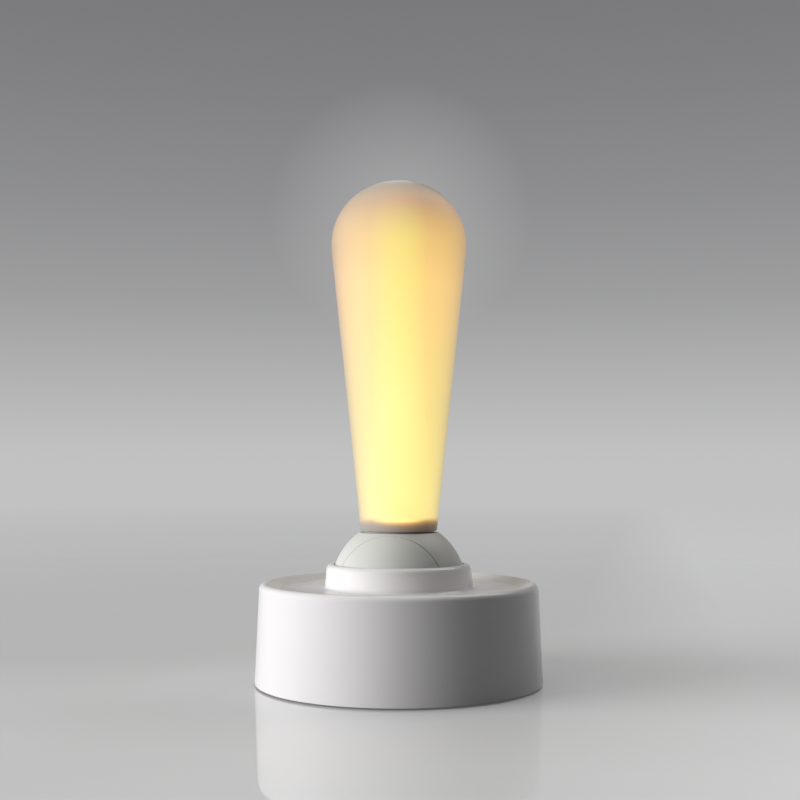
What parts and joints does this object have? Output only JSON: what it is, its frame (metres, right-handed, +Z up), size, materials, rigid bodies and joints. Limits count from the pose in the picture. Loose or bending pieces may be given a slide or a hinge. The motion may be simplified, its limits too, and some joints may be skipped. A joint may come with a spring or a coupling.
{
  "type": "rocker table lamp",
  "caption": "Cordless table night lamp: round weighted base with a ball pivot that carries a glowing club-shaped silicone stick, rocked to either side to work the switch.",
  "frame": {"origin": "centre of the foot pad's underside, on the table", "axes": "+Z up along the stick, +Y to the back with the charging socket, +X to the right; the stick rocks about Y"},
  "size_m": [0.08, 0.08, 0.141],
  "materials": {
    "gloss_white": "glossy moulded white plastic",
    "satin_white": "satin off-white plastic",
    "frosted_silicone": "frosted translucent silicone, lit warm from its foot",
    "cover_white": "fine-textured white plastic",
    "holder_white": "satin white plastic",
    "pad_rubber": "matt silicone rubber",
    "screw_steel": "zinc-plated steel",
    "plate_steel": "plain steel plate",
    "pin_steel": "bright steel",
    "bush_brass": "sintered brass",
    "cell_foil": "laminated foil",
    "board_green": "solder-masked board",
    "component_black": "moulded component cases",
    "socket_steel": "plated sheet steel",
    "slider_black": "moulded slider",
    "led_board_white": "white-coated aluminium board",
    "chip_phosphor": "phosphor-coated chips",
    "lead_red": "insulated wire"
  },
  "bodies": {
    "base": {"base_shell": "gloss_white", "bottom_cover": "cover_white", "foot_pad": "pad_rubber", "cover_screws": "screw_steel", "weight_plate": "plate_steel", "battery_cell": "cell_foil", "battery_leads": "lead_red", "main_board": "board_green", "board_components": "component_black", "charging_socket": "socket_steel", "board_screws": "screw_steel", "switch_body": "socket_steel", "front_cheek": "satin_white", "rear_cheek": "satin_white", "cheek_screws": "screw_steel", "pivot_pin": "pin_steel", "centring_spring": "pin_steel", "led_leads": "lead_red"},
    "rocker": {"rocker_ball": "satin_white", "pivot_bushes": "bush_brass", "led_holder": "holder_white", "holder_screws": "screw_steel", "led_board": "led_board_white", "light_chips": "chip_phosphor", "diffuser": "frosted_silicone"},
    "slider": {"switch_slider": "slider_black"}
  },
  "joints": [
    {"name": "rock", "type": "hinge", "parent": "base", "child": "rocker", "pos_m": [0, 0, 0.0263], "axis": [0, 1, 0], "range_deg": [-16, 16], "stiffness_Nm_per_rad": 0.15, "deforming": ["centring_spring", "led_leads"]},
    {"name": "switch_slide", "type": "slide", "parent": "base", "child": "slider", "axis": [1, 0, 0], "range_m": [-0.00245, 0.00245]}
  ],
  "couplings": [
    {"joint": "switch_slide", "follows": "rock", "m_per_rad": -0.0087}
  ]
}
